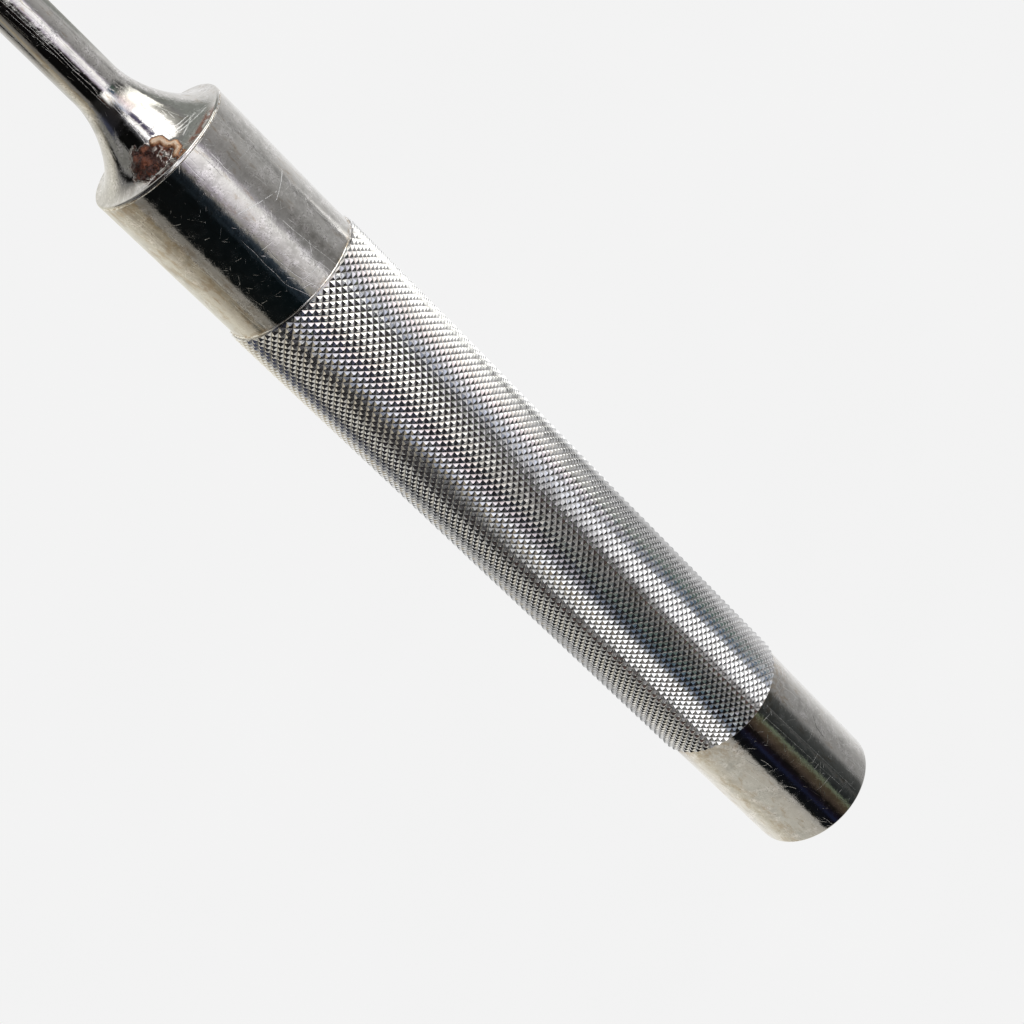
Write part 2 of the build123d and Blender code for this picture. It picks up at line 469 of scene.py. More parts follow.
def rust_scab(bench, finishes, place, lip, grain):
    """Colour and relief of the rust: dark creases between red folds, with painted shade in the creases and
    where the lumps sink, painted highlights on the folds' tops and along the ridge's crest, a pale ridge,
    specks and cracks.
    """
    along, around = unrolled(bench, place)
    lumps = bench.cloud(place, 2.1, 5.0, 0.62)
    folds = bench.cloud(place, 1.25, 3.0, 0.5)
    ridge = lip + (grain - 0.5) * 0.35 + (lumps - 0.5) * 0.5
    speckled = abs(along - RIM / MM - 1.0).step(0.60, 0.2) * abs(around - 1.25).step(0.75, 0.25)
    speck = bench.cloud(place, 3.2, 3.0, 0.55).step(0.49, 0.54) * speckled * (1.0 - lip * 3.0).at_least(0.0)
    crack = abs(folds - 0.47).step(0.030, 0.0) * (1.0 - lip * 2.5).at_least(0.0)
    rust = bench.coats(
        # Dark rust in the low creases of the folds and red on them: the rust's own tones, with painted shade
        # in the creases.
        finishes.dark_rust_and_crease_shade,
        (folds.step(0.34, 0.64), finishes.rust_red),
        # Painted highlight: orange on the tops of the folds.
        (folds.step(0.56, 0.70) * grain.step(0.42, 0.6) * 0.5, finishes.orange_rust_and_painted_light),
        # Painted shade: dark rust where the lumps sink.
        (lumps.step(0.47, 0.35) * 0.8, finishes.dark_rust_and_crease_shade),
        # The ridge: orange at its foot, tan on it and palest along its crest. These are its own colours,
        # graded as painted shade on the flanks and a painted highlight on the crest.
        (ridge.step(0.03, 0.20), finishes.orange_rust_and_painted_light),
        (ridge.step(0.26, 0.58), finishes.rust_tan),
        # Painted highlight along the ridge's crest.
        (ridge.step(0.60, 0.85) * 0.7, finishes.painted_ridge_highlight),
        (speck * 0.95, finishes.rust_speck),
        (crack * 0.85, finishes.rust_crack),
    )
    return rust, 0.30 + lumps * 0.25, grain * 0.6 + lumps * 0.9 + folds * 1.6 - crack * 0.4


def forged_steel(finishes):
    """The working end: the same polish, with the rust scab and a rust line under the rim."""
    material, bench = new_bench("polish_with_rust")
    place, tone, roughness, normal = worn_polish(bench, finishes)
    along, around = unrolled(bench, place)
    crust = bench.add("ShaderNodeAttribute", {"attribute_name": "crust"}, output=2)
    lip = bench.add("ShaderNodeAttribute", {"attribute_name": "lip"}, output=2)
    grain = bench.cloud(place, 4.6, 7.0, 0.72)
    rusted = (crust.at_least(lip) + (grain - 0.5) * 0.45).step(0.14, 0.24)
    rust, rust_roughness, scab = rust_scab(bench, finishes, place, lip, grain)
    strokes = cuts(bench, along, around, RIM / MM, FLARE_STROKES)
    from_rim = along - RIM / MM
    under_rim = from_rim.step(0.40, 0.31) * from_rim.step(0.20, 0.25)
    upper_side = around.step(-5.2, -3.8) * around.step(-0.5, -1.4)
    line = under_rim * upper_side * bench.cloud(place, 1.6, 4.0).step(0.38, 0.52) * 0.9
    halo = crust.step(0.0, 0.1) * grain.step(0.45, 0.6) * 0.5
    tone = bench.coats(
        tone,
        (strokes * grain.step(0.40, 0.50), finishes.flare_stroke),
        (line.at_least(halo), finishes.rust_bleed),
        (rusted, rust),
    )
    bench.surface({
        "Base Color": tone,
        "Metallic": 1.0 - rusted.at_least(line),
        "Roughness": (roughness + strokes * 0.35) * (1.0 - rusted) + rusted * rust_roughness,
        "Normal": bench.bump(scab * rusted, 1.0, SCAB_DEPTH, normal),
    })
    return material


def knurled_steel(finishes):
    """Bright diamonds, with a brown film that thickens towards the grooves."""
    material, bench = new_bench("bright_knurl")
    place = bench.place()
    y, z = bench.parts(place)[1:]
    crest = KNURL_RADIUS / MM
    depth = ((y * y + z * z) ** 0.5).step(crest - 0.06, crest - 0.15)
    grime = bench.cloud(place, 0.9, 4.0, 0.6)
    tone = bench.blend(depth * (0.35 + grime.step(0.4, 0.7) * 0.45), finishes.knurl, finishes.groove)
    worn = bench.cloud(place, 7.0, 3.0)
    roughness = 0.05 + worn * 0.08 + depth * 0.06
    normal = bench.bump(worn, 0.25, KNURL_GRAIN_DEPTH)
    bench.surface({"Base Color": tone, "Metallic": 1.0, "Roughness": roughness, "Normal": normal})
    return material


def silver_solder(finishes):
    """Bright solder, filed round the seam and stained in patches."""
    material, bench = new_bench("filed_solder")
    place = bench.place()
    filed = bench.cloud(bench.stretch(place, (4.0, 1.0, 1.0)), 2.5, 4.0, 0.6)
    tone = bench.blend(filed.step(0.44, 0.60) * 0.75, finishes.solder, finishes.stain)
    normal = bench.bump(filed, 0.3, FILE_DEPTH)
    bench.surface({"Base Color": tone, "Metallic": 1.0, "Roughness": 0.16 + filed * 0.2, "Normal": normal})
    return material


def inner_steel(finishes):
    """Steel as it left the lathe, with fine rings round it."""
    material, bench = new_bench("turned_steel")
    place = bench.place()
    rings = bench.cloud(bench.stretch(place, (9.0, 0.3, 0.3)), 1.5, 3.0)
    tone = bench.blend(rings.step(0.4, 0.7) * 0.4, finishes.inner, finishes.stain)
    normal = bench.bump(rings, 0.4, FILE_DEPTH)
    bench.surface({"Base Color": tone, "Metallic": 1.0, "Roughness": 0.34 + rings * 0.15, "Normal": normal})
    return material


# ---------------------------------------------------------------- mesh helpers


def add_piece(name, points, faces, slot, material, *nodes):
    """A finished piece: smooth between gentle faces, riding on the root in place of its CAD nodes."""
    mesh = bpy.data.meshes.new(name)
    mesh.from_pydata(points, [], faces)
    mesh.validate()
    mesh.shade_smooth()
    mesh.set_sharp_from_angle(angle=SHARP_ANGLE)
    mesh.materials.append(material)
    piece = bpy.data.objects.new(name, mesh)
    bpy.context.scene.collection.objects.link(piece)
    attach(piece, "root")
    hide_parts(*nodes)
    return piece


def on_circle(x, radius, turn):
    """A point at that turn from +Z towards +Y."""
    return (x, radius * math.sin(turn), radius * math.cos(turn))


def join_rings(rings, closed):
    """Points and faces of a skin over rings of equal length; a ring of one point closes an end."""
    points, faces, starts = [], [], []
    for ring in rings:
        starts.append(len(points))
        points.extend(ring)
    pairs = list(zip(range(len(rings)), range(1, len(rings))))
    if closed:
        pairs.append((len(rings) - 1, 0))
    for near, far in pairs:
        count = max(len(rings[near]), len(rings[far]))
        for step in range(count):
            following = (step + 1) % count
            corners = [
                starts[near] + (step if len(rings[near]) > 1 else 0),
                starts[near] + (following if len(rings[near]) > 1 else 0),
                starts[far] + (following if len(rings[far]) > 1 else 0),
                starts[far] + (step if len(rings[far]) > 1 else 0),
            ]
            faces.append(tuple(dict.fromkeys(corners)))
    return points, faces


def uneven(place, parts):
    """Smooth unevenness at a place: the sum of noises given as (strength, scale)."""
    return sum(strength * noise.noise(place * scale) for strength, scale in parts)


def turned(outline, count, closed, wobble):
    """Rings of a turned piece from (x, radius) points; wobble is the hand-finished unevenness."""
    turns = [math.tau * step / count for step in range(count)]
    rings = []
    for x, radius in outline:
        if radius == 0.0:
            rings.append([(x, 0.0, 0.0)])
            continue
        ring = []
        for turn in turns:
            point = Vector(on_circle(x, radius, turn))
            ring.append(on_circle(x, radius + uneven(point, ((wobble, WOBBLE_SCALE),)), turn))
        rings.append(ring)
    return join_rings(rings, closed)


def run(start, end, step):
    """Even steps from start to end, both included."""
    count = max(1, round(abs(end - start) / step))
    return [start + (end - start) * index / count for index in range(count + 1)]


def rounded(centre_x, centre_radius, radius, start, end, count=5):
    """Points of an arc in the outline's plane, angles in degrees from +X towards the outside."""
    turns = [math.radians(start + (end - start) * index / count) for index in range(count + 1)]
    return [(centre_x + radius * math.cos(t), centre_radius + radius * math.sin(t)) for t in turns]


# ---------------------------------------------------------------- operators


class ELEVATOR_OT_working_end(bpy.types.Operator):
    """Forged working end: tang, flare with its rust, shank and gouge blade"""

    bl_idname = "elevator.working_end"
    bl_label = "Working End"

    # Share of a ring's points that lie in the gouge's mouth, and how often the search for the
    # mouth's corner halves its range
    MOUTH_SHARE = 3 / 8
    HALVINGS = 40
    # The scab's two lumps as (place from the rim, radius), and the ridge at its end, in millimetres
    LUMPS = (((1.1, 2.05, 3.7), 1.5), ((0.75, 1.0, 4.4), 1.05))
    RIDGE = (
        (1.65, 0.6, 3.65), (1.5, 0.15, 3.9), (0.95, 0.15, 4.35),
        (0.75, -0.25, 4.6), (0.45, -0.1, 5.0), (0.4, 0.4, 5.2),
    )
    RIDGE_REACH = 0.38
    # Unevenness of the scab's outline and of its top, as (strength, scale)
    RAGGED, LUMPY = ((0.42, 1.4), (0.26, 3.3)), ((1.1, 1.9), (0.5, 4.3))
    BODY_RAGGED, RIDGE_RAGGED = 0.7, 0.25
    # The scab rises only where it is thicker than its stained skin, and not beyond a highest part
    SKIN, THICKEST, RIDGE_THICKEST = 0.14, 0.4, 0.5
    BODY_RISE, RIDGE_RISE, OVERHANG = 0.55, 0.5, 0.7
    RIM_FADE = 0.25 * MM

    def flare_rows(self, sizes):
        """Outline from the rim's edge, over its round, down the trumpet to the shank."""
        edge_x = RIM + RIM_LEG + sizes.edge_round
        edge_radius = SMOOTH_RADIUS - sizes.edge_round
        rows = rounded(edge_x - sizes.edge_round, edge_radius, sizes.edge_round, 90.0, 0.0)
        shank_x = RIM + sizes.flare_length
        curve = interpolate_bezier(
            Vector((edge_x, edge_radius, 0.0)),
            Vector((edge_x, edge_radius - sizes.flare_rim_pull, 0.0)),
            Vector((shank_x - sizes.flare_shank_pull, sizes.shank_radius, 0.0)),
            Vector((shank_x, sizes.shank_radius, 0.0)),
            FLARE_POINTS,
        )
        return rows + [(point.x, point.y) for point in curve[1:]]

    def blank_rows(self, sizes):
        """Outline of the blade's blank from the end of the shank to the tip."""
        blade_start, nose_start = TIP - sizes.blade_length, TIP - sizes.nose_length
        taper = run(blade_start, nose_start, BLADE_STEP)
        rise = (sizes.blade_radius - sizes.shank_radius) / (nose_start - blade_start)
        rows = [(x, sizes.shank_radius + rise * (x - blade_start)) for x in taper]
        nose = interpolate_bezier(
            Vector((nose_start, sizes.blade_radius, 0.0)),
            Vector((nose_start + sizes.nose_length / 2, sizes.blade_radius, 0.0)),
            Vector((TIP, 2 * sizes.nose_end_radius, 0.0)),
            Vector((TIP, sizes.nose_end_radius, 0.0)),
            NOSE_POINTS,
        )
        return rows + [(point.x, point.y) for point in nose[1:]]

    def hollow_height(self, sizes, x, y):
        """Height of the ground hollow at a place across the blade."""
        dip = TIP - sizes.hollow_straight
        slope = (sizes.hollow_floor_tip - sizes.hollow_floor_back) / sizes.hollow_straight
        side = math.sqrt(max(sizes.hollow_radius**2 - y * y, 0.0))
        if x >= dip:
            return sizes.hollow_floor_back + slope * (x - dip) + sizes.hollow_radius - side
        lean = math.atan(-slope)
        centre_x = dip + sizes.hollow_runout * math.sin(lean)
        centre_z = sizes.hollow_floor_back + sizes.hollow_radius + sizes.hollow_runout * math.cos(lean)
        reach = sizes.hollow_runout + side
        return centre_z - math.sqrt(reach**2 - (x - centre_x) ** 2)

    def corner(self, sizes, x, radius):
        """Half width of the gouge's mouth, where the hollow meets the blank."""
        low, high = 0.0, radius
        for _ in range(self.HALVINGS):
            middle = (low + high) / 2
            if middle**2 + self.hollow_height(sizes, x, middle) ** 2 < radius**2:
                low = middle
            else:
                high = middle
        return low

    def round_turns(self, count, mouth, corner, gathered):
        """Turns of a ring's points, from even to gathered inside the mouth's corner angle."""
        turns = []
        half = mouth // 2
        for step in range(-half, count - half):
            even = math.tau * step / count
            if step <= half:
                tight = corner * step / half
            else:
                tight = corner + (step - half) / (count - mouth) * (math.tau - 2 * corner)
            turns.append(even + (tight - even) * gathered)
        return turns

    def gouge_ring(self, sizes, x, radius, count, mouth):
        """A ring of the blade: over the hollow from corner to corner, then round the blank."""
        half = mouth // 2
        width = self.corner(sizes, x, radius)
        corner = math.atan2(width, self.hollow_height(sizes, x, width))
        ring = []
        for step, turn in zip(range(-half, count - half), self.round_turns(count, mouth, corner, 1.0)):
            if abs(step) < half:
                y = width * step / half
                ring.append((x, y, self.hollow_height(sizes, x, y)))
            else:
                ring.append(on_circle(x, radius, turn))
        return ring

    def off_line(self, spot, near, far):
        """Distance from a spot to the line between two others."""
        closest, part = intersect_point_line(spot, near, far)
        if part < 0.0:
            closest = near
        elif part > 1.0:
            closest = far
        return (spot - closest).length

    def crust(self, point):
        """Thickness of the rust scab at a place, and how far that place is up its ridge."""
        spot = (point - Vector((RIM, 0.0, 0.0))) / MM
        ragged = uneven(spot, self.RAGGED)
        body = max(1.0 - (spot - Vector(middle)).length / reach for middle, reach in self.LUMPS)
        ridge = zip(self.RIDGE, self.RIDGE[1:])
        nearest = min(self.off_line(spot, Vector(near), Vector(far)) for near, far in ridge)
        lip = 1.0 - nearest / self.RIDGE_REACH + ragged * self.RIDGE_RAGGED
        return max(body + ragged * self.BODY_RAGGED, 0.0), max(lip, 0.0)

    def raise_rust(self, points, flare_end):
        """Lifts the flare's points under the scab; gives the scab's thickness and ridge at every point."""
        crusts, lips = [], []
        for index, point in enumerate(points):
            thickness, lip = 0.0, 0.0
            place = Vector(point)
            if RIM + RIM_LEG < place.x < flare_end and place.z > 0.0:
                thickness, lip = self.crust(place)
                inward = min((place.x - RIM - RIM_LEG) / self.RIM_FADE, 1.0)
                lumpy = 1.0 + uneven(place / MM, self.LUMPY)
                swell = min(max(thickness - self.SKIN, 0.0), self.THICKEST) * lumpy * self.BODY_RISE
                swell += min(max(lip - self.SKIN, 0.0), self.RIDGE_THICKEST) * self.RIDGE_RISE
                swell *= inward * MM
                raised = Vector((place.x, 0.0, 0.0)).lerp(place, 1.0 + swell / place.yz.length)
                points[index] = tuple(raised + Vector((swell * self.OVERHANG, 0.0, 0.0)))
            crusts.append(thickness)
            lips.append(lip)
        return {"crust": crusts, "lip": lips}

    def round_rings(self, sizes, count, mouth):
        """Rings of the tang, the spigot and the flare, which are all round."""
        even = self.round_turns(count, mouth, 0.0, 0.0)
        lead = sizes.tang_lead_in
        tang = [(TANG_BACK, 0.0), (TANG_BACK, sizes.tang_radius - lead)]
        tang += [(TANG_BACK + lead, sizes.tang_radius), (CORE_END, sizes.tang_radius)]
        spigot = [(CORE_END, CORE_RADIUS), (RIM, CORE_RADIUS)]
        chamfer = [(RIM, SMOOTH_RADIUS - RIM_LEG)]
        rings = []
        for x, radius in tang + spigot + chamfer + self.flare_rows(sizes):
            rings.append([on_circle(x, radius, turn) for turn in even] if radius else [(x, 0.0, 0.0)])
        return rings

    def execute(self, context):
        sizes, finishes = context.scene.elevator_sizes, context.scene.elevator_finishes
        count = sizes.roundness
        mouth = int(count * self.MOUTH_SHARE)
        rings = self.round_rings(sizes, count, mouth)
        shank_start, blade_start = RIM + sizes.flare_length, TIP - sizes.blade_length
        blank = self.blank_rows(sizes)
        open_rows = [row for row in blank if self.hollow_height(sizes, row[0], 0.0) < row[1]]
        if not open_rows:
            raise ValueError("The hollow is too shallow to cut the blade")
        mouth_x, mouth_radius = open_rows[0]
        width = self.corner(sizes, mouth_x, mouth_radius)
        first_corner = math.atan2(width, self.hollow_height(sizes, mouth_x, width))
        plain = [(x, sizes.shank_radius) for x in run(shank_start, blade_start, SHANK_STEP)[1:-1]]
        plain += [row for row in blank if row[0] < mouth_x]
        for x, radius in plain:
            gathered = (x - shank_start) / (mouth_x - shank_start)
            turns = self.round_turns(count, mouth, first_corner, gathered)
            rings.append([on_circle(x, radius, turn) for turn in turns])
        for x, radius in open_rows:
            depth = self.hollow_height(sizes, x, 0.0)
            if radius + depth < THINNEST:
                rings.append([(x, 0.0, depth)])
                break
            rings.append(self.gouge_ring(sizes, x, radius, count, mouth))
        points, faces = join_rings(rings, closed=False)
        rust = self.raise_rust(points, shank_start)
        piece = add_piece("forging", points, faces, "polished_steel", forged_steel(finishes), "working_end")
        for name, values in rust.items():
            attribute = piece.data.attributes.new(name, "FLOAT", "POINT")
            attribute.data.foreach_set("value", values)
        return {"FINISHED"}


class ELEVATOR_OT_smooth_ends(bpy.types.Operator):
    """Smooth steel ends of the handle: the front collar and the butt cap"""

    bl_idname = "elevator.smooth_ends"
    bl_label = "Smooth Ends"

    def execute(self, context):
        sizes, finishes = context.scene.elevator_sizes, context.scene.elevator_finishes
        material = polished_steel(finishes)
        front = [(x, SMOOTH_RADIUS) for x in run(COLLAR_START + EDGE_BREAK, RIM - RIM_LEG, HANDLE_STEP)]
        outline = [(COLLAR_START, CORE_RADIUS), (COLLAR_START, SMOOTH_RADIUS - EDGE_BREAK)]
        outline += front + [(RIM, SMOOTH_RADIUS - RIM_LEG), (RIM, CORE_RADIUS)]
        points, faces = turned(outline, sizes.roundness, True, TURNED_WOBBLE)
        add_piece("collar", points, faces, "polished_steel", material, "front_collar")
        bore = [(CORE_START, 0.0), (CORE_START, CORE_RADIUS), (GRIP_START, CORE_RADIUS)]
        side = [(x, SMOOTH_RADIUS) for x in run(GRIP_START - EDGE_BREAK, sizes.butt_round, HANDLE_STEP)]
        flat_radius = SMOOTH_RADIUS - sizes.butt_round
        corner = rounded(sizes.butt_round, flat_radius, sizes.butt_round, 90.0, 180.0, 8)
        face = [(0.0, radius) for radius in run(flat_radius, 0.0, HANDLE_STEP)[1:-1]]
        outline = bore + [(GRIP_START, SMOOTH_RADIUS - EDGE_BREAK)] + side + corner[1:]
        outline += face + [(0.0, 0.0)]
        points, faces = turned(outline, sizes.roundness, False, TURNED_WOBBLE)
        add_piece("butt", points, faces, "polished_steel", material, "butt_cap")
        return {"FINISHED"}


class Knurl:
    """The knurl's points and faces, on a lattice counted a round the grip and b along it."""

    def __init__(self, sizes):
        self.around, self.along = 2 * sizes.knurl_starts, 2 * sizes.knurl_rows
        self.first = GRIP_START + sizes.knurl_land
        self.half = (COLLAR_START - GRIP_START - 2 * sizes.knurl_land) / self.along
        self.root, self.flat = KNURL_RADIUS - sizes.knurl_depth, sizes.knurl_flat
        self.points, self.faces, self.known = [], [], {}

    def point(self, x, radius, a):
        """Adds a point and returns its number."""
        self.points.append(on_circle(x, radius, math.tau * a / self.around))
        return len(self.points) - 1

    def corner(self, a, b, radius, worn=0.0):
        """The number of the point at a lattice place; a repeats after a whole turn."""
        key = (round(a % self.around, 4), round(b, 4), round(radius, 7))
        if key not in self.known:
            x = self.first + b * self.half
            place = Vector(on_circle(x, radius, math.tau * key[0] / self.around))
            wear = abs(uneven(place, ((worn, WEAR_SCALE),)))
            self.known[key] = self.point(place.x, radius - wear, key[0])
        return self.known[key]

    def diamond(self, a, b):
        """One diamond, with a small flat on its crest; the first and last rows are halves."""
        ways = ((1, 0), (0, 1), (-1, 0), (0, -1))
        if b == 0:
            ways = ways[:3]
        elif b == self.along:
            ways = (ways[2], ways[3], ways[0])
        low = [self.corner(a + i, b + j, self.root) for i, j in ways]
        tops = [(a + i * self.flat, b + j * self.flat) for i, j in ways]
        high = [self.corner(*top, KNURL_RADIUS, CREST_WEAR) for top in tops]
        sides = 4 if len(ways) == 4 else 2
        for side in range(sides):
            nxt = (side + 1) % len(ways)
            self.faces.append((low[side], low[nxt], high[nxt], high[side]))
        self.faces.append(tuple(high))

    def end_wall(self, b):
        """The places round the first or the last row, as (a, radius)."""
        wall = []
        for a in range(self.around):
            if (a + b) % 2:
                wall += [(a - self.flat, KNURL_RADIUS), (a + self.flat, KNURL_RADIUS)]
            else:
                wall.append((a, self.root))
        return wall

    def land(self, b, end_x):
        """Closes one end, with a plain land beyond the diamonds, and returns the bore's edge."""
        wall, radius = self.end_wall(b), self.root - THINNEST
        foot, outer, bore = [], [], []
        for a, _ in wall:
            foot.append(self.point(self.first + b * self.half, radius, a))
            outer.append(self.point(end_x, radius, a))
            bore.append(self.point(end_x, CORE_RADIUS, a))
        top = [self.corner(a, b, high, CREST_WEAR if high > self.root else 0.0) for a, high in wall]
        for here in range(len(wall)):
            nxt = (here + 1) % len(wall)
            for near, far in ((top, foot), (foot, outer), (outer, bore)):
                quad = (near[here], far[here], far[nxt], near[nxt])
                self.faces.append(quad if b == 0 else quad[::-1])
        return bore


class ELEVATOR_OT_knurled_grip(bpy.types.Operator):
    """Grip sleeve with every diamond of its knurl cut as real pyramids"""

    bl_idname = "elevator.knurled_grip"
    bl_label = "Knurled Grip"

    def execute(self, context):
        sizes, finishes = context.scene.elevator_sizes, context.scene.elevator_finishes
        knurl = Knurl(sizes)
        for b in range(knurl.along + 1):
            for a in range((b + 1) % 2, knurl.around, 2):
                knurl.diamond(a, b)
        rear, front = knurl.land(0, GRIP_START), knurl.land(knurl.along, COLLAR_START)
        for here in range(len(rear)):
            nxt = (here + 1) % len(rear)
            knurl.faces.append((rear[here], front[here], front[nxt], rear[nxt]))
        material = knurled_steel(finishes)
        add_piece("knurl", knurl.points, knurl.faces, "knurled_steel", material, "grip_sleeve")
        return {"FINISHED"}


class ELEVATOR_OT_solder_beads(bpy.types.Operator):
    """Silver solder along the three seams, slightly uneven as it froze"""

    bl_idname = "elevator.solder_beads"
    bl_label = "Solder Beads"

    # The rim bead's crown as shares of its leg, and the angles that it runs between
    CROWN_DROP, CROWN_RADIUS = 1.6, 1.7
    CROWN_START, CROWN_END, CROWN_POINTS = 126.0, 54.0, 6
    # The seam beads' legs as a share of the CAD ring's, and how far their faces sag
    LEG_SHARE, SAG = 0.6, 0.35

    def bead(self, name, outline, count, material, node):
        """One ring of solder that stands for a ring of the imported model."""
        points, faces = turned(outline, count, True, BEAD_WOBBLE)
        add_piece(name, points, faces, "silver_solder", material, node)

    def execute(self, context):
        sizes = context.scene.elevator_sizes
        material = silver_solder(context.scene.elevator_finishes)
        count = sizes.roundness
        centre, radius = SMOOTH_RADIUS - self.CROWN_DROP * RIM_LEG, self.CROWN_RADIUS * RIM_LEG
        crown = rounded(RIM, centre, radius, self.CROWN_START, self.CROWN_END, self.CROWN_POINTS)
        outline = [(RIM, SMOOTH_RADIUS - RIM_LEG)] + crown
        self.bead("rim_bead", outline, count, material, "rim_solder_ring")
        leg, sag = self.LEG_SHARE * SEAM_LEG, self.SAG * self.LEG_SHARE * SEAM_LEG
        for name, seam, outward in (("collar", COLLAR_START, 1), ("butt", GRIP_START, -1)):
            foot = (seam + outward * leg, SMOOTH_RADIUS)
            peak = (seam, SMOOTH_RADIUS + leg)
            middle = (seam + outward * sag, SMOOTH_RADIUS + sag)
            outline = [(seam, SMOOTH_RADIUS), foot, middle, peak]
            if outward == -1:
                outline[1], outline[3] = peak, foot
            self.bead(f"{name}_bead", outline, count, material, f"{name}_solder_ring")
        return {"FINISHED"}


class ELEVATOR_OT_hidden_core(bpy.types.Operator):
    """Finish of the core tube and the tang pin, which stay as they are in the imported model"""

    bl_idname = "elevator.hidden_core"
    bl_label = "Hidden Core"

    def execute(self, context):
        material = inner_steel(context.scene.elevator_finishes)
        for name in ("core_tube", "tang_pin"):
            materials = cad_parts[name].data.materials
            materials.clear()
            materials.append(material)
        return {"FINISHED"}


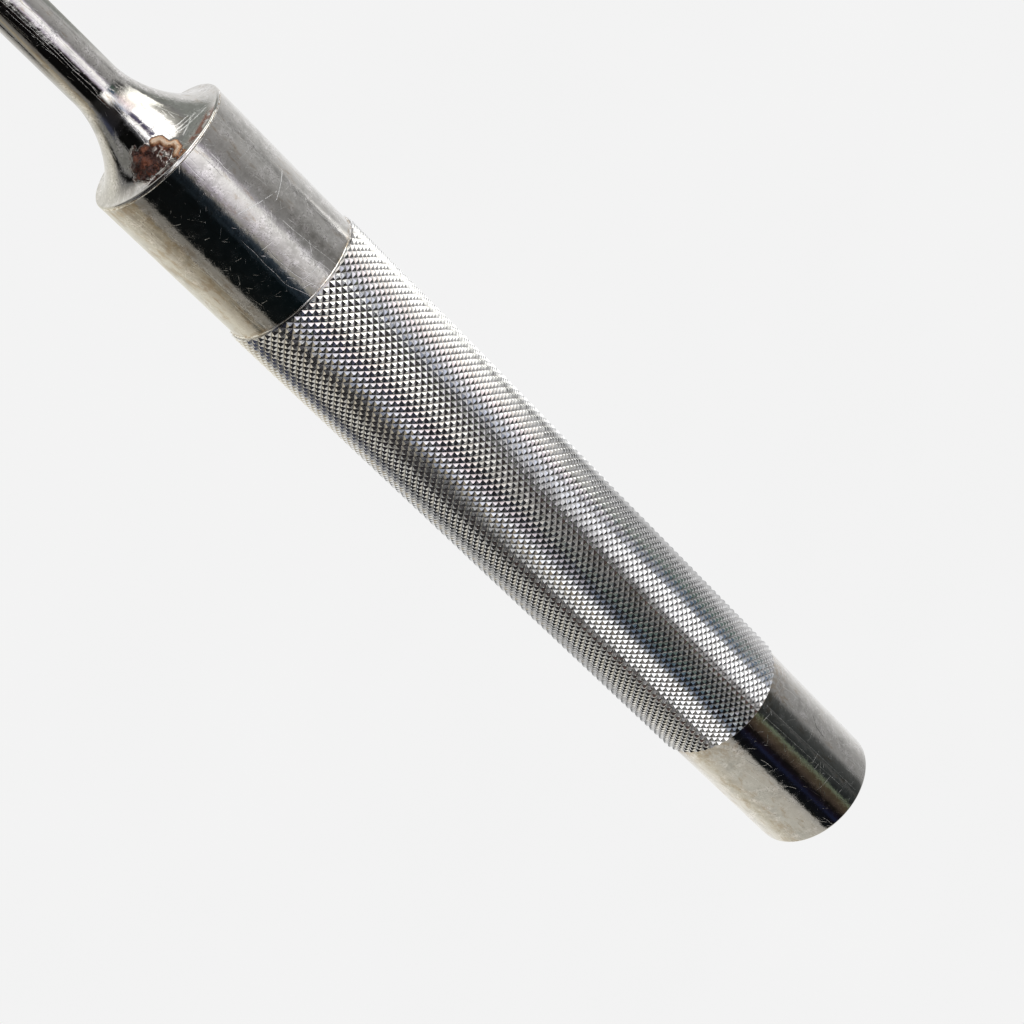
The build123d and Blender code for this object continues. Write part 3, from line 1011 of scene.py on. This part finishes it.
class ELEVATOR_OT_stage(bpy.types.Operator):
    """Camera, pale floor and the soft light tent with its dark and bright strips"""

    bl_idname = "elevator.stage"
    bl_label = "Stage"

    PLAIN = (1.0, 1.0, 1.0)
    # The strength that the strips are shares of
    BRIGHTEST = 2.5
    # How far the tent's bands and the paper's reach on each side, in degrees and in millimetres
    TENT_REACH, PAPER_REACH = 90, 90
    TENT_STEP = 3
    FLOOR_GAP = 0.01 * MM
    # How much the edges of the tent's bands wander, how large the wander is, and the paper's fibre
    WANDER, WANDER_SCALE = 0.030, 0.018
    FIBRE, FIBRE_SCALE = 0.02, 0.05
    # What reflections see past the tent's ends: dim behind the butt and brighter beyond the tip
    ROOM_DIM, ROOM_GAIN, ROOM_TURN = 0.05, 0.27, 0.4
    CLIP_START, CLIP_END = 0.01, 20.0

    # Light on the tent by angle from the tent's top towards -Y, in degrees: (angle, strength, tint).
    # Each set fills one length of the tent, and each is named after what mirrors that length.
    OVER_FLARE = (
        (-90, 0.27, (1.0, 1.0, 0.95)), (-80, 0.30, (1.0, 1.0, 0.97)), (-76, 0.006, PLAIN),
        (-31, 0.005, PLAIN), (-25, 0.14, (0.8, 0.8, 0.85)), (-17, 0.40, (0.9, 0.9, 1.0)),
        (-13, 2.0, PLAIN), (-4, 2.0, PLAIN), (0, 0.20, (0.8, 0.65, 1.0)), (11, 0.26, (0.6, 0.6, 1.0)),
        (15, 2.4, PLAIN), (62, 2.2, (1.0, 0.99, 0.97)), (70, 0.8, (1.0, 0.99, 0.93)),
        (80, 0.42, (1.0, 1.0, 0.93)), (90, 0.36, (1.0, 1.0, 0.95)),
    )
    OVER_KNURL = (
        (-90, 0.11, (0.62, 0.68, 1.0)), (-80, 0.10, (0.56, 0.62, 1.0)), (-70, 0.03, (0.8, 0.8, 1.0)),
        (-20, 0.03, (1.0, 0.9, 0.9)), (-11, 0.10, (0.8, 0.85, 1.0)), (-3, 0.70, (0.70, 0.78, 1.0)),
        (6, 1.2, (0.95, 0.94, 1.0)), (18, 1.25, (1.0, 0.86, 0.88)), (34, 1.4, (1.0, 0.91, 0.85)),
        (50, 2.1, (1.0, 0.97, 0.92)), (60, 2.4, (1.0, 1.0, 0.94)), (90, 2.4, (1.0, 1.0, 0.92)),
    )
    OVER_GRIP = (
        (-90, 0.30, PLAIN), (-80, 0.10, PLAIN), (-74, 0.02, PLAIN), (-36, 0.02, PLAIN),
        (-33, 0.12, (1.0, 0.6, 0.5)), (-29, 0.06, (1.0, 0.8, 0.8)), (-24, 0.5, PLAIN), (-19, 1.7, PLAIN),
        (3, 1.9, PLAIN), (9, 0.8, (0.85, 0.9, 1.0)), (14, 0.22, (0.45, 0.65, 1.0)),
        (22, 0.16, (0.4, 0.7, 1.0)), (30, 0.14, (0.6, 1.0, 0.8)), (48, 0.13, PLAIN), (70, 0.12, PLAIN),
        (80, 0.5, PLAIN), (90, 0.6, PLAIN),
    )
    OVER_SHANK = (
        (-90, 0.30, (1.0, 0.97, 0.90)), (-79, 0.20, (1.0, 0.95, 0.88)), (-74, 0.005, PLAIN),
        (-11, 0.005, PLAIN), (-7, 0.05, (1.0, 0.7, 0.7)), (-2, 0.7, (0.88, 0.80, 1.0)),
        (6, 1.3, (0.96, 0.93, 1.0)), (26, 1.7, PLAIN), (32, 0.8, (0.90, 0.84, 1.0)),
        (37, 0.35, (1.0, 0.98, 1.0)), (70, 0.50, (1.0, 0.99, 0.98)), (90, 0.60, PLAIN),
    )
    OVER_COLLAR = (
        (-90, 0.30, (1.0, 0.92, 0.78)), (-77, 0.36, (1.0, 0.97, 0.88)), (-75, 0.01, (0.8, 1.0, 1.0)),
        (-26, 0.010, (0.4, 0.8, 1.0)), (-22, 0.06, (0.5, 0.75, 1.0)), (-18, 0.03, (0.4, 0.7, 1.0)),
        (-11, 0.12, (0.55, 0.75, 1.0)), (-8, 0.50, (1.0, 0.98, 0.9)), (4, 0.42, (1.0, 0.98, 0.97)),
        (16, 0.90, (1.0, 0.98, 1.0)), (25, 0.85, PLAIN), (34, 0.38, PLAIN), (56, 0.20, (1.0, 0.98, 0.95)),
        (72, 0.46, PLAIN), (90, 0.46, PLAIN),
    )
    OVER_BUTT = (
        (-90, 0.70, (1.0, 0.98, 0.88)), (-58, 0.62, (1.0, 0.96, 0.86)), (-46, 0.52, (1.0, 0.98, 0.92)),
        (-44, 0.01, (0.8, 1.0, 1.0)), (-27, 0.010, (0.6, 0.6, 1.0)), (-23, 0.05, (0.3, 0.4, 1.0)),
        (-17, 0.015, (0.7, 0.5, 0.9)), (-9, 0.010, (1.0, 0.9, 0.8)), (-3, 0.07, (1.0, 0.75, 0.6)),
        (8, 0.10, (1.0, 0.8, 0.5)), (14, 0.26, (0.8, 1.0, 0.7)), (17, 0.03, (0.85, 0.95, 1.0)),
        (33, 0.06, (0.9, 1.0, 1.0)), (36, 0.13, PLAIN), (38, 0.05, (0.9, 1.0, 1.0)),
        (56, 0.10, (0.95, 1.0, 1.0)), (66, 0.35, PLAIN), (90, 0.42, PLAIN),
    )
    # Light that the paper sends into reflections by its distance on each side of the axis, in
    # millimetres towards -Y: (distance, strength, tint). Again one set for each length of the object.
    BY_BUTT = (
        (-90, 0.70, (1.0, 0.97, 0.87)), (-34, 0.74, (1.0, 0.95, 0.82)), (-20, 0.80, (1.0, 0.95, 0.80)),
        (-12, 1.05, (1.0, 0.97, 0.88)), (-4, 1.0, PLAIN), (0, 0.92, PLAIN), (12, 0.98, PLAIN),
        (16, 0.88, PLAIN), (26, 0.68, PLAIN), (70, 0.45, PLAIN),
    )
    BY_GRIP = (
        (-90, 0.36, (1.0, 0.86, 0.62)), (-52, 0.36, (1.0, 0.90, 0.70)), (-40, 0.12, (0.95, 1.0, 0.95)),
        (-21, 0.12, PLAIN), (-16, 0.45, (1.0, 1.0, 0.96)), (-12, 0.95, (1.0, 1.0, 0.96)),
        (-6, 1.0, PLAIN), (0, 0.8, PLAIN), (8, 1.7, PLAIN), (20, 2.1, (1.0, 1.0, 0.94)), (44, 1.8, PLAIN),
        (56, 0.46, PLAIN), (90, 0.45, PLAIN),
    )
    BY_GRIP_END = (
        (-90, 0.20, PLAIN), (-40, 0.14, (0.95, 1.0, 0.95)), (-26, 0.12, PLAIN),
        (-14, 0.55, (1.0, 1.0, 0.96)), (-7, 0.8, PLAIN), (0, 0.7, PLAIN), (10, 0.7, PLAIN),
        (20, 0.42, PLAIN), (45, 0.30, PLAIN), (90, 0.30, PLAIN),
    )
    BY_COLLAR = (
        (-90, 0.36, (1.0, 0.86, 0.62)), (-31, 0.48, (1.0, 0.9, 0.7)), (-21, 0.62, (1.0, 0.92, 0.76)),
        (-13, 0.88, (1.0, 0.95, 0.8)), (-8, 0.90, (1.0, 0.98, 0.88)), (0, 0.92, PLAIN), (12, 0.98, PLAIN),
        (16, 0.88, PLAIN), (26, 0.68, PLAIN), (70, 0.45, PLAIN),
    )
    BY_FLARE = (
        (-90, 0.22, (1.0, 1.0, 0.95)), (-24, 0.28, (1.0, 1.0, 0.95)), (-20, 0.30, PLAIN),
        (-18, 0.01, PLAIN), (-14, 0.01, PLAIN), (-12, 0.28, PLAIN), (-10, 0.36, (1.0, 0.98, 0.93)),
        (-6, 0.72, (1.0, 0.98, 0.93)), (-3, 0.80, PLAIN), (0, 0.50, (1.0, 1.0, 0.96)),
        (6, 0.44, (1.0, 1.0, 0.93)), (12, 0.36, (0.95, 1.0, 0.95)), (40, 0.32, (0.95, 1.0, 0.95)),
        (90, 0.30, PLAIN),
    )

    # Each further set and the places between which it takes over, in millimetres along the instrument
    TENT_ZONES = (
        (OVER_BUTT, -80.0, -190.0), (OVER_SHANK, -60.0, 20.0), (OVER_GRIP, 36.0, 60.0),
        (OVER_KNURL, 88.0, 160.0), (OVER_FLARE, 190.0, 240.0),
    )
    PAPER_ZONES = (
        (BY_GRIP, 64.0, 54.0), (BY_GRIP_END, 46.0, 24.0), (BY_BUTT, 13.0, 5.0), (BY_FLARE, 88.0, 94.0),
    )

    def ramp(self, bench, across, reach, bands):
        """One set of bands between -reach and reach, over a place across that goes from 0 to 1."""
        stops = [
            ((spot + reach) / (2 * reach), tuple(strength * part / self.BRIGHTEST for part in tint))
            for spot, strength, tint in bands
        ]
        return bench.add("ShaderNodeValToRGB", {"stops": stops}, {0: across})

    def strips(self, bench, across, x, reach, first, zones):
        """All the sets of bands of the tent or the paper, each in its own length along x."""
        light = self.ramp(bench, across, reach, first)
        for bands, start, end in zones:
            light = bench.blend(x.step(start, end), light, self.ramp(bench, across, reach, bands))
        return light

    def glow(self, bench, light):
        """Ends a material in light that its surface gives off."""
        shader = bench.add("ShaderNodeEmission", values={"Color": light, "Strength": self.BRIGHTEST})
        bench.add("ShaderNodeOutputMaterial", values={"Surface": shader})

    def tent(self, studio):
        """A half tunnel over the instrument, seen only in reflections."""
        radius, centre = studio.tent_radius, (RIM + GRIP_START) / 2
        ends = (centre - studio.tent_length / 2, centre + studio.tent_length / 2)
        turns = [math.radians(step) for step in range(-self.TENT_REACH, self.TENT_REACH + 1, self.TENT_STEP)]
        arch = [(-radius * math.sin(turn), radius * math.cos(turn) - KNURL_RADIUS) for turn in turns]
        points = [(x, y, z) for x in ends for y, z in arch]
        rows = len(turns)
        faces = [(i, i + 1, rows + i + 1, rows + i) for i in range(rows - 1)]
        mesh = bpy.data.meshes.new("light_tent")
        mesh.from_pydata(points, [], faces)
        mesh.shade_smooth()
        material, bench = new_bench("tent_light")
        place = bench.place()
        x, y, z = bench.parts(place)
        turn = bench.add("ShaderNodeMath", {"operation": "ARCTAN2"}, {0: 0.0 - y, 1: z})
        wander = bench.cloud(bench.stretch(place, (1.0, 0.5, 0.5)), self.WANDER_SCALE) - 0.5
        across = (turn / math.pi + 0.5 + wander * self.WANDER).at_least(0.0).at_most(1.0)
        self.glow(bench, self.strips(bench, across, x, self.TENT_REACH, self.OVER_COLLAR, self.TENT_ZONES))
        mesh.materials.append(material)
        tent = bpy.data.objects.new("light_tent", mesh)
        tent.visible_camera = False
        return tent

    def floor(self, studio):
        """Pale paper: plain to look at, and graded light in reflections."""
        half = studio.floor_size / 2
        level = -KNURL_RADIUS - self.FLOOR_GAP
        corners = [(x * half, y * half, level) for x, y in ((-1, -1), (1, -1), (1, 1), (-1, 1))]
        mesh = bpy.data.meshes.new("paper_floor")
        mesh.from_pydata(corners, [], [(0, 1, 2, 3)])
        material, bench = new_bench("white_paper")
        looked_at = bench.add("ShaderNodeLightPath")
        place = bench.place()
        x, y = bench.parts(place)[:2]
        across = (0.5 - y / (2 * self.PAPER_REACH)).at_least(0.0).at_most(1.0)
        graded = self.strips(bench, across, x, self.PAPER_REACH, self.BY_COLLAR, self.PAPER_ZONES)
        fibre = bench.cloud(place, self.FIBRE_SCALE, 3.0) * self.FIBRE + (studio.paper - self.FIBRE / 2)
        plain = bench.blend(fibre / self.BRIGHTEST, BLACK, WHITE)
        self.glow(bench, bench.blend(looked_at, graded, plain))
        mesh.materials.append(material)
        return bpy.data.objects.new("paper_floor", mesh)

    def room(self, studio):
        """The world: plain and pale to look at, dimmer in reflections."""
        world = bpy.data.worlds.new("pale_room")
        world.use_nodes = True
        bench = Bench(world.node_tree)
        looked_at = bench.add("ShaderNodeLightPath")
        towards_tip = bench.parts(bench.add("ShaderNodeTexCoord"))[0]
        dim = self.ROOM_DIM + towards_tip.step(-self.ROOM_TURN, self.ROOM_TURN) * self.ROOM_GAIN
        level = dim + looked_at * (studio.paper - dim)
        tone = bench.blend(level, BLACK, WHITE)
        backdrop = bench.add("ShaderNodeBackground", values={"Color": tone, "Strength": 1.0})
        bench.add("ShaderNodeOutputWorld", values={"Surface": backdrop})
        return world

    def camera(self, studio):
        """The camera, turned about the vertical, then tilted, then rolled, and set back from its target."""
        camera = bpy.data.objects.new("camera", bpy.data.cameras.new("camera"))
        camera.data.lens = studio.lens
        camera.data.clip_start, camera.data.clip_end = self.CLIP_START, self.CLIP_END
        aim = Euler((0.0, 0.0, studio.heading)).to_matrix()
        aim = aim @ Euler((studio.tilt, 0.0, 0.0)).to_matrix() @ Euler((0.0, 0.0, studio.roll)).to_matrix()
        back = aim @ Vector((0.0, 0.0, 1.0))
        camera.location = Vector(studio.target) + back * studio.distance
        camera.rotation_mode = "QUATERNION"
        camera.rotation_quaternion = aim.to_quaternion()
        return camera

    def execute(self, context):
        scene, studio = context.scene, context.scene.elevator_studio
        pieces = [self.floor(studio), self.tent(studio)]
        for piece in pieces:
            scene.collection.objects.link(piece)
        scene.world = self.room(studio)
        scene.camera = self.camera(studio)
        scene.collection.objects.link(scene.camera)
        scene.view_settings.view_transform = "Standard"
        return {"FINISHED"}


# ---------------------------------------------------------------- panel and registration


OPERATORS = (
    ELEVATOR_OT_working_end,
    ELEVATOR_OT_smooth_ends,
    ELEVATOR_OT_knurled_grip,
    ELEVATOR_OT_solder_beads,
    ELEVATOR_OT_hidden_core,
    ELEVATOR_OT_stage,
)


class ELEVATOR_PT_sidebar(bpy.types.Panel):
    """The elevator's pieces, sizes and finishes"""

    bl_idname = "ELEVATOR_PT_sidebar"
    bl_label = "Dental Elevator"
    bl_space_type = "VIEW_3D"
    bl_region_type = "UI"
    bl_category = "Elevator"

    def draw(self, context):
        layout = self.layout
        for operator in OPERATORS:
            layout.operator(operator.bl_idname)
        for group in ("elevator_sizes", "elevator_finishes", "elevator_studio"):
            settings = getattr(context.scene, group)
            box = layout.box()
            for name in settings.__annotations__:
                box.prop(settings, name)


GROUPS = (ElevatorSizes, ElevatorFinishes, ElevatorStudio)


def register():
    for made in GROUPS + OPERATORS + (ELEVATOR_PT_sidebar,):
        bpy.utils.register_class(made)
    bpy.types.Scene.elevator_sizes = PointerProperty(type=ElevatorSizes)
    bpy.types.Scene.elevator_finishes = PointerProperty(type=ElevatorFinishes)
    bpy.types.Scene.elevator_studio = PointerProperty(type=ElevatorStudio)


def unregister():
    del bpy.types.Scene.elevator_studio
    del bpy.types.Scene.elevator_finishes
    del bpy.types.Scene.elevator_sizes
    for made in reversed(GROUPS + OPERATORS + (ELEVATOR_PT_sidebar,)):
        bpy.utils.unregister_class(made)


def main():
    register()
    bpy.ops.elevator.working_end()
    bpy.ops.elevator.smooth_ends()
    bpy.ops.elevator.knurled_grip()
    bpy.ops.elevator.solder_beads()
    bpy.ops.elevator.hidden_core()
    bpy.ops.elevator.stage()


if __name__ == "__main__":
    main()
